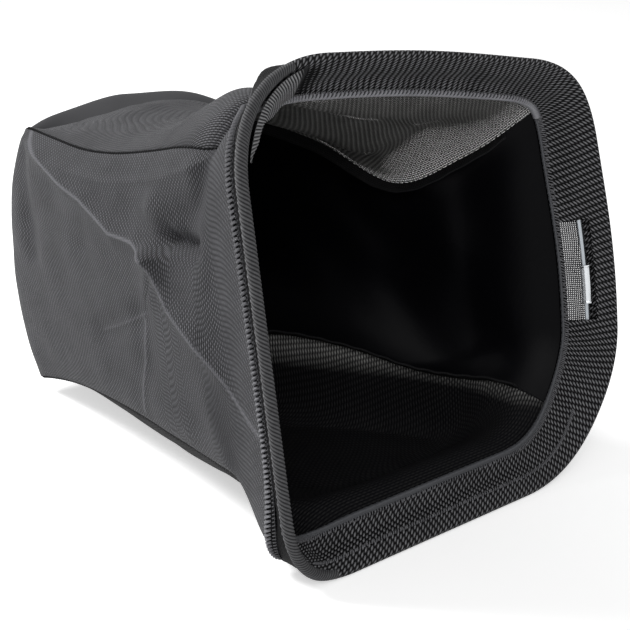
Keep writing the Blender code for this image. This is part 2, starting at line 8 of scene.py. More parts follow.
import bpy
import mathutils
import numpy as np
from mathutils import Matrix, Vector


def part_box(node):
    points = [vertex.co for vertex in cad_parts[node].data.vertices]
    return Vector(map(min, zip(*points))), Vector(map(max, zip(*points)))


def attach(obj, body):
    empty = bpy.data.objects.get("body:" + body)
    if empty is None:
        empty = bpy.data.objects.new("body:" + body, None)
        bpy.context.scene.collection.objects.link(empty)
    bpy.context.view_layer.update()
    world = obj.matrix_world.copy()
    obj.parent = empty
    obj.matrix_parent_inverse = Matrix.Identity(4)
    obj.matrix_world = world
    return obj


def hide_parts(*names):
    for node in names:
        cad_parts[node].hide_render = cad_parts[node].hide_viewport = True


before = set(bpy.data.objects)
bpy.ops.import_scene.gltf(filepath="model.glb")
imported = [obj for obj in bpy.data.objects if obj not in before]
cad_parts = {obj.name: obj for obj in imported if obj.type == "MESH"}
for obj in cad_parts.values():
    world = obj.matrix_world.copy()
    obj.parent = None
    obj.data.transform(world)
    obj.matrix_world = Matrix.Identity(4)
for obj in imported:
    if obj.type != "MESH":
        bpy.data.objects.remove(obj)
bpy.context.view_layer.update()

# %% [markdown]
# ## The camera
# The photograph was taken a little above the mouth, from the near side. Its place was found by matching
# the mouth, the seams and the skyline, so the lens is long and nothing is shifted. The camera looks along
# the turned -Z axis, and the three columns below are its right, up and backward directions.
# Its place is measured from the lip's lower near corner, and set once the solids' place is known.

# %% Camera
AZIMUTH, ELEVATION = np.radians(-38.04), np.radians(21.77)
CAMERA_FROM_CORNER = np.array([-0.48863, -0.64450, 0.54587])
backward = np.array([
    np.sin(AZIMUTH) * np.cos(ELEVATION), -np.cos(AZIMUTH) * np.cos(ELEVATION), np.sin(ELEVATION)
])
rightward = np.array([np.cos(AZIMUTH), np.sin(AZIMUTH), 0.0])
upward = np.cross(backward, rightward)
camera = bpy.data.objects.new("camera", bpy.data.cameras.new("camera"))
camera.data.lens, camera.data.sensor_width = 74.29, 36.0
camera.data.clip_start = 0.05
bpy.context.scene.collection.objects.link(camera)
bpy.context.scene.camera = camera

# %% [markdown]
# ## One surface for the whole bag
# Every cloth is read from one surface with two parameters. Here q runs once round the bag: 0 to 1 is the
# lower gusset, 1 to 2 the coated wall, 2 to 3 the upper gusset and 3 to 4 the near wall. And s runs from
# the mouth, 0, to the closed end, 1. It could be sculpted or simulated instead, but a formula gives the
# same bag each time, and the solids were made from the same one, so the fine cloth lands on them. Lengths
# are in metres. Reaches, spreads and places are shares of a side of the mouth or of the bag's length.
# Values in fours are for the lower, far, upper and near side, or for the corner where each starts.

# %% Sizes of the bag
MOUTH_WIDTH, NEAR_SIDE_SHIFT, MOUTH_TOP_SHIFT = 0.364, 0.009, 0.004
MOUTH_NEAR_HEIGHT, MOUTH_FAR_HEIGHT = 0.392, 0.346
MOUTH_LEAN = np.radians(13.0)
MOUTH_TOP_BOW, MOUTH_FAR_BOW = 0.006, 0.012
CORNER_REACH = np.array([0.14, 0.40, 0.17, 0.26])
LOW_CORNER_SWELL, TOP_CORNER_SWELL = 0.012, 0.020
BAG_LENGTH, END_HEIGHT, END_BOW = 0.498, 0.250, 0.041
COATED_BULGE, COATED_LIFT = 0.064, 0.052
LOWER_SAG, UPPER_CROWN, PILLOW, SEAM_REACH = 0.076, 0.030, 0.009, 0.015
CROWN_EASE, RIDGE_HEIGHT, RIDGE_PLACE, RIDGE_SPREAD = 0.3, 0.030, (0.80, 0.22), (0.16, 0.13)
CLOTH = 0.0010
CASING_WIDTH, FAR_CASING_WIDTH, ROLL_WIDTH = 0.042, 0.049, 0.012
WIRE_DIAMETER, FERRULE_DIAMETER, FERRULE_COLLAR = 0.005, 0.009, 0.0004
WIRE_DEPTH_LOW, WIRE_DEPTH_FAR, LIP_RADIUS = 0.015, 0.026, 0.0028
WINDOW_FRONT, WINDOW_MARGIN = 0.018, 0.006
FUNNEL_DEGREES = (48.0, 50.0, 44.0, 10.0)
PLEAT_START, PLEAT_END, PLEAT_LENGTH, PLEAT_DEPTH = 0.24, 0.07, 0.3, 0.009
LAP_CLEARANCE = 0.0006
WALL_LENGTH, WALL_HEIGHT = BAG_LENGTH * 0.86, END_HEIGHT * 1.1
FERRULE_AT = 1.0 + 0.155 / MOUTH_FAR_HEIGHT
WINDOW_START, WINDOW_END = 1.0 + 0.122 / MOUTH_FAR_HEIGHT, 1.0 + 0.214 / MOUTH_FAR_HEIGHT
UP_THE_MOUTH = np.array([0.0, np.sin(MOUTH_LEAN), np.cos(MOUTH_LEAN)])
BEHIND_THE_MOUTH = np.array([0.0, np.cos(MOUTH_LEAN), -np.sin(MOUTH_LEAN)])
FAR_OUTWARD = np.array([BAG_LENGTH, MOUTH_WIDTH, 0.0]) / np.hypot(BAG_LENGTH, MOUTH_WIDTH)
HEM_SPREAD = (CLOTH + 0.0003) / 2
WIRE_SPREAD = (WIRE_DIAMETER + CLOTH) / 2 + 0.0007

# The four seams at these values of s: across, along and up, in percent of width, length and height there
SEAM_STATIONS = (0.0, 0.12, 0.25, 0.40, 0.53, 0.65, 0.80, 0.92, 1.0)
NEAR_LOW_SEAM = (
    (1.6, 4.1, 7.7), (3.3, 14.4, 12.0), (4.4, 26.1, 14.0), (4.6, 39.5, 14.6), (4.9, 51.0, 14.8),
    (4.9, 61.7, 14.3), (5.2, 74.4, 11.9), (5.5, 84.2, 7.7), (5.5, 89.2, 4.8),
)
FAR_LOW_SEAM = (
    (94.3, 7.8, 8.7), (82.8, 18.9, 12.3), (71.0, 30.2, 15.7), (58.5, 42.6, 21.8), (47.5, 53.3, 24.6),
    (37.2, 63.0, 21.7), (24.6, 75.1, 12.9), (13.1, 84.7, 6.5), (5.5, 89.2, 4.8),
)
FAR_TOP_SEAM = (
    (95.1, 21.2, 76.5), (83.9, 29.4, 68.8), (73.0, 39.7, 62.6), (60.1, 51.2, 76.7), (49.2, 60.9, 87.1),
    (38.8, 70.4, 95.8), (26.8, 81.1, 96.3), (16.9, 89.1, 95.6), (9.8, 93.2, 103.2),
)
NEAR_TOP_SEAM = (
    (3.3, 17.5, 88.0), (6.6, 25.7, 84.8), (7.7, 36.0, 83.9), (8.2, 48.4, 83.9), (8.2, 59.1, 84.9),
    (8.5, 68.9, 87.4), (9.0, 80.2, 93.4), (9.6, 88.9, 99.1), (9.8, 93.2, 103.2),
)


# %% Curves that the surface is built from
def smoothstep(start, end, x):
    """0 before start, 1 after end, and 3f^2 - 2f^3 between, where f is the share of the way."""
    f = np.clip((x - start) / (end - start), 0.0, 1.0)
    return f * f * (3.0 - 2.0 * f)


def bell(x, centre, width):
    """1 at the centre, falling as e to the minus of the squared distance in widths."""
    return np.exp(-(((x - centre) / width) ** 2))


def unit(vectors):
    """The same directions, 1 long."""
    return vectors / np.linalg.norm(vectors, axis=-1, keepdims=True)


def distance_along(points, axis):
    """Each point's distance from the first, along the line through them."""
    steps = np.linalg.norm(np.diff(points, axis=axis), axis=-1)
    return np.concatenate([0 * np.take(steps, [0], axis=axis), np.cumsum(steps, axis=axis)], axis=axis)


def rising(x, width):
    """0 at 0 and then up towards 1, as 1 minus e to the minus of x in widths."""
    return 1 - np.exp(-x / width)


def between(start, full, still_full, end, x):
    """0 before start, 1 from full to still_full, 0 after end, and smooth steps between."""
    return smoothstep(start, full, x) * (1 - smoothstep(still_full, end, x))


def through(x, knots, values):
    """Cubic pieces through a few points. Each has its two ends' values, and slopes from their neighbours."""
    knots, values = np.array(knots), np.array(values)
    slopes = np.gradient(values, knots, axis=0)
    i = np.clip(np.searchsorted(knots, x) - 1, 0, len(knots) - 2)
    width = (knots[i + 1] - knots[i])[..., None]
    f = (x[..., None] - knots[i][..., None]) / width
    level = values[i] * (1 + 2 * f) * (1 - f) ** 2 + values[i + 1] * f**2 * (3 - 2 * f)
    return level + width * (slopes[i] * f * (1 - f) ** 2 - slopes[i + 1] * f**2 * (1 - f))


def around(q, low, far, top, near):
    """A value for each side of the mouth, blended with its neighbour's over a quarter side at each corner."""
    sides = np.array([low, far, top, near])
    k = np.floor(np.mod(q, 4.0)).astype(int) % 4
    f = np.mod(q, 1.0)
    here, before, after = sides[k], sides[(k - 1) % 4], sides[(k + 1) % 4]
    entering = before + (here - before) * smoothstep(-0.25, 0.25, f)
    leaving = here + (after - here) * smoothstep(0.75, 1.25, f)
    return np.where(f < 0.5, entering, leaving)


def rounded(q, corners, reach):
    """The mean of a four-sided outline from q - reach to q + reach, which rounds its corners to parabolas."""
    corners = np.broadcast_to(corners, q.shape + (4, 3))
    ends = np.roll(corners, -1, axis=-2)
    side_sums = (corners + ends) / 2
    sums_before = np.cumsum(side_sums, axis=-2) - side_sums

    def sum_up_to(x):
        turns, place = np.divmod(x, 4.0)
        k = np.minimum(place.astype(int), 3)
        f = (place - k)[..., None]
        row = k[..., None, None]
        tables = (corners, ends, sums_before)
        start, end, before = (np.take_along_axis(table, row, axis=-2)[..., 0, :] for table in tables)
        return turns[..., None] * side_sums.sum(axis=-2) + before + start * f + (end - start) * f**2 / 2

    return (sum_up_to(q + reach) - sum_up_to(q - reach)) / (2 * reach)[..., None]


# %% [markdown]
# ## The mouth
# The lip is a four-sided outline with rounded corners in a plane that leans back. The casing behind it is
# a funnel: a place in it is given by its depth behind the lip and its offset from the casing's middle.
# Its two layers part round the wire and the ferrule and close up behind them.

# %% Casing
def corner_reach(q):
    """How far the rounding of each corner reaches, blended smoothly from one corner to the next."""
    k = np.floor(np.mod(q, 4.0)).astype(int) % 4
    here, after = CORNER_REACH[k], CORNER_REACH[(k + 1) % 4]
    return here + (after - here) * smoothstep(0.0, 1.0, np.mod(q, 1.0))


def lip_outline(q):
    """The lip in the mouth's plane: straight sides, rounded corners, and a half sine wave of bow."""
    corners = np.array([
        [0.0, 0.0, 0.0],
        [MOUTH_WIDTH, 0.0, 0.0],
        [MOUTH_WIDTH + MOUTH_TOP_SHIFT, MOUTH_FAR_HEIGHT, 0.0],
        [NEAR_SIDE_SHIFT, MOUTH_NEAR_HEIGHT, 0.0],
    ])
    outline = rounded(q, corners, corner_reach(q))
    swell = np.sin(np.pi * np.mod(q, 1.0)) ** 2
    side = np.floor(np.mod(q, 4.0))
    outline[..., 0] += np.where(side == 1, MOUTH_FAR_BOW * swell, 0.0)
    outline[..., 1] += np.where(side == 2, MOUTH_TOP_BOW * swell, 0.0)
    return outline


def casing_point(q, depth, offset):
    """The lip, plus depth along the funnel's slope, plus offset square to that slope."""
    q, depth, offset = np.broadcast_arrays(q, depth, offset)
    step = 0.06
    outline = lip_outline(q)
    along = unit(lip_outline(q + step) - lip_outline(q - step))
    lip = outline[..., 1:2] * UP_THE_MOUTH
    lip[..., 0] += outline[..., 0]
    outward = -along[..., 0:1] * UP_THE_MOUTH
    outward[..., 0] += along[..., 1]
    funnel = np.radians(around(q, *FUNNEL_DEGREES))[..., None]
    backwards = np.cos(funnel) * BEHIND_THE_MOUTH - np.sin(funnel) * outward
    sideways = np.sin(funnel) * BEHIND_THE_MOUTH + np.cos(funnel) * outward
    return lip + backwards * depth[..., None] + sideways * offset[..., None]


def casing_width(q):
    return around(q, CASING_WIDTH, FAR_CASING_WIDTH, CASING_WIDTH, CASING_WIDTH)


def lip_radius(q):
    return around(q, LIP_RADIUS, LIP_RADIUS, WIRE_SPREAD, WIRE_SPREAD)


def wire_depth(q):
    return around(q, WIRE_DEPTH_LOW, WIRE_DEPTH_FAR, WIRE_SPREAD, WIRE_SPREAD)


def casing_spread(q, depth):
    """Half the distance between the two layers: wide at the lip's roll and over the wire, else closed."""
    q, depth = np.broadcast_arrays(q, depth)
    radius, width = lip_radius(q), casing_width(q)
    closed_at = around(q, 1.0, 1.0, 1.0, ROLL_WIDTH / CASING_WIDTH + 0.1) * width
    layers = HEM_SPREAD + (radius - HEM_SPREAD) * (1 - smoothstep(radius, closed_at, depth))
    by_ferrule = np.exp(-(((q - FERRULE_AT) / 0.11) ** 4))
    room = WIRE_SPREAD + (FERRULE_DIAMETER / 2 + FERRULE_COLLAR - WIRE_DIAMETER / 2) * by_ferrule
    return layers + (room - layers) * bell(depth, wire_depth(q), 0.010) * (room > layers)


def outer_layer_end(q):
    """Where the outer layer stops and the panels start: just behind the roll on the near side."""
    hem = casing_width(q) - 2 * CLOTH
    return hem + (ROLL_WIDTH - hem) * around(q, 0.0, 0.0, 0.0, 1.0)


def corner_swell(q, depth):
    """The cloth that stands out behind the lip at the two near corners, as two bells."""
    low = LOW_CORNER_SWELL * bell(np.mod(q + 2.0, 4.0), 1.97, 0.13)
    top = TOP_CORNER_SWELL * bell(np.mod(q, 4.0), 2.86, 0.10)
    return (low + top) * smoothstep(0.004, 0.030, depth)


# %% [markdown]
# ## Folds
# Cloth that has been folded for shipping keeps thin creases, and cloth that is pulled gets broad soft
# folds. Both are lines on the panel with a height that dies away to the sides. Broad ones are in the
# solids too; the thin ones are only here, where there are enough faces for them.

# %% Fold lines of the near wall, as (s, height up the wall), then height and half width in metres
TOP_LINE = (0.95, 1.0), (0.75, 0.89), (0.61, 0.82), (0.50, 0.72), (0.41, 0.70), (0.35, 0.65)
LOW_LINE = (0.43, 0.42), (0.44, 0.26), (0.48, 0.04)
NEAR_WALL_FOLDS = (
    (TOP_LINE, 0.0040, 0.012),
    (((0.35, 0.65), (0.34, 0.57), (0.31, 0.49), (0.22, 0.40), (0.14, 0.36), (0.08, 0.33)), 0.0035, 0.011),
    (LOW_LINE, -0.0030, 0.016),
    (((0.42, 0.44), (0.59, 0.31)), -0.0030, 0.013),
    (((0.36, 0.66), (0.42, 0.44)), 0.0030, 0.010),
    (((0.29, 0.76), (0.14, 0.81)), -0.0060, 0.017),
    (((0.34, 0.82), (0.29, 0.75)), 0.0070, 0.014),
    (((0.30, 0.72), (0.22, 0.69)), -0.0075, 0.011),
    (((0.50, 0.93), (0.38, 0.91)), -0.0035, 0.015),
    (((0.94, 0.99), (0.88, 0.75), (0.85, 0.50)), -0.0045, 0.013),
)
NEAR_WALL_CREASES = (
    (TOP_LINE, 0.0050, 0.0130),
    (((0.35, 0.65), (0.34, 0.57), (0.31, 0.49), (0.22, 0.40), (0.14, 0.36), (0.04, 0.30)), 0.0050, 0.0120),
    (LOW_LINE, 0.0022, 0.0070),
    (((0.42, 0.44), (0.59, 0.31)), 0.0018, 0.0060),
    (((0.36, 0.62), (0.42, 0.44)), -0.0026, 0.0060),
    (((0.30, 0.72), (0.22, 0.69)), -0.0060, 0.0060),
    (((0.98, 0.96), (0.80, 0.93), (0.55, 0.90), (0.30, 0.91), (0.16, 0.94)), 0.0040, 0.0090),
)


def fold_height(s, up, folds, sharpness=2.0):
    """The sum of all folds: each is its height times e to the minus of the distance to the fold's line, in
    half widths and raised to the sharpness. Sharpness 2 gives a soft wave, and 1 a crease with two planes."""
    place = np.stack([s * WALL_LENGTH, up * WALL_HEIGHT], axis=-1)
    relief = np.zeros(s.shape)
    for line, height, half_width in folds:
        points = np.array(line) * (WALL_LENGTH, WALL_HEIGHT)
        nearest = np.full(s.shape, np.inf)
        for start, end in zip(points[:-1], points[1:]):
            run = end - start
            share = np.clip(((place - start) @ run) / (run @ run), 0, 1)
            nearest = np.minimum(nearest, np.linalg.norm(place - start - share[..., None] * run, axis=-1))
        relief += height * np.exp(-((nearest / half_width) ** sharpness))
    return relief


def ripples(x, y, seed, size, count=14):
    """Soft unevenness between -1 and 1: the mean of waves whose directions and lengths are drawn once."""
    draw = np.random.default_rng(seed)
    angle, phase = draw.uniform(0, 2 * np.pi, (2, count))
    wave = 2 * np.pi / (size * draw.uniform(0.6, 1.8, count))
    along = x[..., None] * np.cos(angle) + y[..., None] * np.sin(angle)
    return np.sin(along * wave + phase).sum(axis=-1) / np.sqrt(count)


# %% The panels' surface
GROUND = 0.0


def body_point(q, s, fine=0.0):
    """The middle of the cloth. Straight-sided sections between the seams, rounded at their corners, bulge,
    sag or crown by smooth profiles, and next to the mouth they blend into the casing. Fine is how much of
    the thin creases and of the unevenness is added."""
    q, s = np.broadcast_arrays(q, s)
    turn = np.mod(q, 4.0)
    side = np.floor(turn)
    f = turn - side

    height = MOUTH_NEAR_HEIGHT + (END_HEIGHT - MOUTH_NEAR_HEIGHT) * s
    unit = np.stack([np.full_like(s, MOUTH_WIDTH), np.full_like(s, BAG_LENGTH), height], axis=-1) / 100
    seams = (NEAR_LOW_SEAM, FAR_LOW_SEAM, FAR_TOP_SEAM, NEAR_TOP_SEAM)
    corners = np.stack([through(s, SEAM_STATIONS, seam) * unit for seam in seams], axis=-2)
    reach = SEAM_REACH + (corner_reach(q) - SEAM_REACH) * (1 - smoothstep(0.0, 0.30, s))
    point = rounded(q, corners, reach)

    up = np.where(side == 3, 1 - f, f)
    is_wall = (side == 1) | (side == 3)
    ends = rising(1 - s, 0.03) * smoothstep(0.0, 0.2, s)
    end_bow = END_BOW * (1 - np.abs(1 - 2 * up) ** 2.5) * smoothstep(0.5, 1.0, s)
    point[..., 1] += np.where(is_wall, end_bow, 0.0)

    edge = rising(up, 0.07) * rising(1 - up, 0.05) * ends
    relief = fold_height(s, up, NEAR_WALL_FOLDS)
    if fine:
        relief += fine * fold_height(s, up, NEAR_WALL_CREASES, 1.15)
        relief += fine * 0.0007 * ripples(s * 0.43, up * 0.28, 4, 0.050)
    point[..., 0] -= np.where(side == 3, (PILLOW + relief) * edge, 0.0)

    fullness = np.sin(np.pi * s**2.2) ** 0.6
    roundness = 1 - np.abs(2 * up - 1) ** 3.5
    lift = COATED_LIFT * np.sin(np.pi * s**5) ** 0.6 * (up / 0.8) ** 4 * (1 - up) / 0.2
    wall = COATED_BULGE * fullness * roundness
    wall = wall + fine * 0.0016 * ripples(s * 0.6, up * 0.25, 9, 0.11) * edge
    point += np.where(side == 1, wall, 0.0)[..., None] * FAR_OUTWARD
    point[..., 2] += np.where(side == 1, lift, 0.0)

    sag = LOWER_SAG * np.sin(np.pi * np.minimum(s / 0.76, 1.0)) ** 0.7
    hang = rising(f, 0.22) * rising(1 - f, 0.05)
    crown = UPPER_CROWN * np.sin(np.pi * f) ** 0.7 * np.sin(np.pi * s**0.6)
    crown *= 1 - CROWN_EASE * smoothstep(0.3, 0.6, s)
    pleat_at = PLEAT_START + (PLEAT_END - PLEAT_START) * np.minimum(s / PLEAT_LENGTH, 1.0)
    pleat_width = 0.07 + 0.1 * (PLEAT_LENGTH - np.minimum(s, PLEAT_LENGTH))
    pleat = PLEAT_DEPTH * bell(f, pleat_at, pleat_width) * (1 - smoothstep(0.25, 0.45, s))
    pleat *= rising(f, 0.03) * smoothstep(0.0, 0.06, s)
    gusset = fine * 0.0006 * ripples(s * 0.45, f * 0.3, 21, 0.06) * ends * np.sin(np.pi * f) ** 0.5
    point[..., 2] += np.where(side == 0, -sag * hang + gusset, 0.0)
    point[..., 2] += np.where(side == 2, crown + pleat + gusset, 0.0)
    point[..., 2] = np.where(side == 0, np.maximum(point[..., 2], GROUND), point[..., 2])

    start = outer_layer_end(q) + 0.0006
    depth = start + s * BAG_LENGTH * 0.9
    spread = casing_spread(q, np.minimum(depth, casing_width(q)))
    lap = around(q, 0.0, 0.0, 0.0, LAP_CLEARANCE)
    collar = casing_point(q, depth, spread + corner_swell(q, depth) + lap)
    free_from = around(q, 0.0, 0.0, 0.0, 0.075)
    free = smoothstep(free_from, free_from + 0.16, s)[..., None]
    cloth = collar * (1 - free) + point * free
    ridge = RIDGE_HEIGHT * bell(f, RIDGE_PLACE[0], RIDGE_SPREAD[0]) * bell(s, RIDGE_PLACE[1], RIDGE_SPREAD[1])
    ridge *= rising(1 - f, 0.04) * smoothstep(0.0, 0.05, s)
    cloth[..., 2] += np.where(side == 2, ridge, 0.0)
    return cloth


# %% [markdown]
# ## From the formula's place to the solids' place
# The formula starts at the lip's lower near corner, and the solids stand centred over the ground. The
# wire was left unchanged, so the middle of its box tells how far everything moves.

# %% Seat on the solids
wire_low, wire_high = (np.array(corner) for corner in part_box("mouth_wire"))
path = casing_point(np.linspace(0.0, 4.0, 400), wire_depth(np.linspace(0.0, 4.0, 400)), 0.0)
SEAT = (wire_low + wire_high) / 2 - (path.min(axis=0) + path.max(axis=0)) / 2
GROUND = -SEAT[2] + CLOTH / 2
camera.matrix_world = mathutils.Matrix.Translation(CAMERA_FROM_CORNER + SEAT) @ mathutils.Matrix(
    np.stack([rightward, upward, backward], axis=1).tolist()
).to_4x4()
print("moved by", np.round(SEAT, 4).tolist())


# %% [markdown]
# ## Cloth from a grid
# A cloth is two layers of quads a hair apart with a wall along each free edge. With two layers the holes
# of an open weave close up when the cloth is seen at a slant, as they do between real round threads. The
# cloth's own measure, in metres from one edge and from the mouth, becomes its UV map for the weave.

# %% Sheets, threads and their meshes
def quads_of(rows, columns, loop=False):
    """The four corners of each cell of a grid, as indices. A loop joins its last row to its first."""
    i, j = np.meshgrid(np.arange(rows - 1 + loop), np.arange(columns - 1), indexing="ij")
    here, below = i * columns + j, (i + 1) % rows * columns + j
    return np.stack([here, below, below + 1, here + 1], axis=-1)


def new_piece(name, points, quads, uv, materials, index=None, node=None):
    """A mesh object from arrays, with a UV map, that rides on the bag and replaces a solid."""
    mesh = bpy.data.meshes.new(name)
    mesh.vertices.add(len(points))
    mesh.vertices.foreach_set("co", (points + SEAT).astype(np.float32).ravel())
    mesh.loops.add(quads.size)
    mesh.loops.foreach_set("vertex_index", quads.astype(np.int32).ravel())
    mesh.polygons.add(len(quads))
    mesh.polygons.foreach_set("loop_start", np.arange(0, quads.size, 4, dtype=np.int32))
    mesh.uv_layers.new(name="cloth").data.foreach_set("uv", uv[quads.ravel()].astype(np.float32).ravel())
    for material in materials:
        mesh.materials.append(material)
    if index is not None:
        mesh.polygons.foreach_set("material_index", index.astype(np.int32))
    mesh.polygons.foreach_set("use_smooth", np.ones(len(quads), bool))
    mesh.update()
    mesh.validate()
    piece = bpy.data.objects.new(name, mesh)
    bpy.context.scene.collection.objects.link(piece)
    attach(piece, "root")
    if node:
        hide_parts(*([node] if isinstance(node, str) else node))
    print(name, len(quads), "faces")
    return piece


def cloth_measure(grid):
    """Distances along the cloth, in metres: across its columns and down its rows."""
    return np.stack([distance_along(grid, 1), distance_along(grid, 0)], axis=-1)


def sheet_of_cloth(name, grid, materials, node, slot, thickness=0.0002, keep=True, loop=False, uv=None,
                   crease=None, numbers=0):
    """Two layers half a thickness to each side of the grid, along its normals, and a wall at each free edge.
    A normal is the cross product of the grid's two directions. Keep says which cells there are, and numbers
    which material the outer layer has there. The inner layer has material 1, or the same one where that
    number is above 1. Crease is painted light and shade: a brightness added to the cloth's colour point by
    point, lighter along creases and darker in folds."""
    wrapped = np.concatenate([grid[-1:], grid, grid[:1]]) if loop else grid
    normal = np.cross(np.gradient(wrapped, axis=0), np.gradient(wrapped, axis=1))
    normal = normal[1:-1] if loop else normal
    normal *= thickness / 2 / np.linalg.norm(normal, axis=-1, keepdims=True)
    points = np.concatenate([(grid + normal).reshape(-1, 3), (grid - normal).reshape(-1, 3)])
    quads = quads_of(*grid.shape[:2], loop=loop)
    keep, numbers = (np.broadcast_to(value, quads.shape[:2]) for value in (keep, numbers))
    quads, numbers = quads[keep], numbers[keep]
    count = grid.shape[0] * grid.shape[1]
    edges = np.concatenate([np.stack([quads[:, k], quads[:, (k + 1) % 4]], axis=-1) for k in range(4)])
    codes = edges[:, 0] * count + edges[:, 1]
    free = edges[~np.isin(edges[:, 1] * count + edges[:, 0], codes)]
    walls = np.stack([free[:, 1], free[:, 0], free[:, 0] + count, free[:, 1] + count], axis=-1)
    faces = np.concatenate([quads, quads[:, ::-1] + count, walls])
    index = np.concatenate([numbers, np.maximum(numbers, 1), np.zeros(len(walls), int)])
    uv = cloth_measure(grid) if uv is None else uv
    uv = np.tile(uv.reshape(-1, 2), (2, 1))
    used, faces = np.unique(faces, return_inverse=True)
    faces = faces.reshape(-1, 4)
    down, across = grid[1:, :-1] - grid[:-1, :-1], grid[:-1, 1:] - grid[:-1, :-1]
    print(name, "cloth area", round(float(np.linalg.norm(np.cross(down, across), axis=-1).sum()), 4), "m2")
    piece = new_piece(name, points[used], faces, uv[used], materials, index, node)
    if crease is not None:
        painted_light_values = piece.data.attributes.new("crease", "FLOAT", "POINT")
        painted_light_values.data.foreach_set("value", np.tile(crease.ravel(), 2)[used].astype(np.float32))
    return piece


# The quads that close the end of a tube with 4 or 8 sides, and how much cloth its girth counts for
CAPS = {4: [[0, 1, 2, 3]], 8: [[0, 1, 2, 3], [0, 3, 4, 7], [4, 5, 6, 7]]}
GIRTH_MEASURE = 0.004


def threads(name, paths, radius, sides, material, node=None, loop=False):
    """Many tubes at once: circles of the radius round each point of each path, square to the path. The
    first direction of a circle points away from the middle of the mouth."""
    wrapped = np.concatenate([paths[:, -1:], paths, paths[:, :1]], axis=1) if loop else paths
    along = np.gradient(wrapped, axis=1)
    along = along[:, 1:-1] if loop else along
    along, away = unit(along), paths - MOUTH_MIDDLE
    away = unit(away - along * np.sum(away * along, axis=-1, keepdims=True))
    across = np.cross(along, away)
    turn = 2 * np.pi * np.arange(sides + 1)[:, None] / sides
    turn[-1] = 0.0
    radius = np.broadcast_to(radius, paths.shape[:2])[..., None, None]
    rings = paths[:, :, None] + radius * (away[:, :, None] * np.cos(turn) + across[:, :, None] * np.sin(turn))
    count, stations = paths.shape[:2]
    ring = np.arange(sides)
    i = np.arange(stations - 1 + loop)
    here, after = i[:, None] * (sides + 1) + ring, ((i + 1) % stations)[:, None] * (sides + 1) + ring
    quads = np.stack([here, here + 1, after + 1, after], axis=-1).reshape(-1, 4)
    if not loop:
        cap = np.array(CAPS[sides])
        quads = np.concatenate([quads, cap[:, ::-1], cap + (stations - 1) * (sides + 1)])
    quads = (quads + np.arange(count)[:, None, None] * stations * (sides + 1)).reshape(-1, 4)
    girth = np.arange(sides + 1) / sides * GIRTH_MEASURE
    uv = np.stack(np.broadcast_arrays(distance_along(paths, 1)[:, :, None], girth), axis=-1).reshape(-1, 2)
    return new_piece(name, rings.reshape(-1, 3), quads, uv, [material], None, node)


MOUTH_MIDDLE = casing_point(np.linspace(0.0, 4.0, 80), 0.0, 0.0).mean(axis=0)


# %% [markdown]
# ## Shader sums in Python
# A procedural material is arithmetic on sockets. This small class wraps an output socket, so that an
# expression such as 1 - hole * 0.5 adds its Math nodes by itself. One method adds any other node.

# %% Sockets with arithmetic
class Amount:
    """A value that changes over the surface. Its operators add Math nodes to the material."""

    def __init__(self, finish, socket):
        self.finish, self.socket = finish, socket

    def math(self, operation, *others):
        node = self.finish.node("ShaderNodeMath", {"operation": operation}, self, *others)
        return Amount(self.finish, node.outputs[0])

    def __add__(self, other):
        return self.math("ADD", other)

    __radd__ = __add__

    def __mul__(self, other):
        return self.math("MULTIPLY", other)

    __rmul__ = __mul__

    def __sub__(self, other):
        return self.math("SUBTRACT", other)

    def __rsub__(self, other):
        return (self * -1.0).math("ADD", other)

    def __truediv__(self, other):
        return self.math("DIVIDE", other)

    def __gt__(self, other):
        return self.math("GREATER_THAN", other)

    def larger(self, other):
        return self.math("MAXIMUM", other)

    def smaller(self, other):
        return self.math("MINIMUM", other)

    def sine(self):
        return self.math("SINE")

    def from_whole(self):
        """The distance to the nearest whole number, times 2: 0 on it and 1 halfway between two."""
        return ((self + 0.5).math("FRACT") - 0.5).math("ABSOLUTE") * 2.0


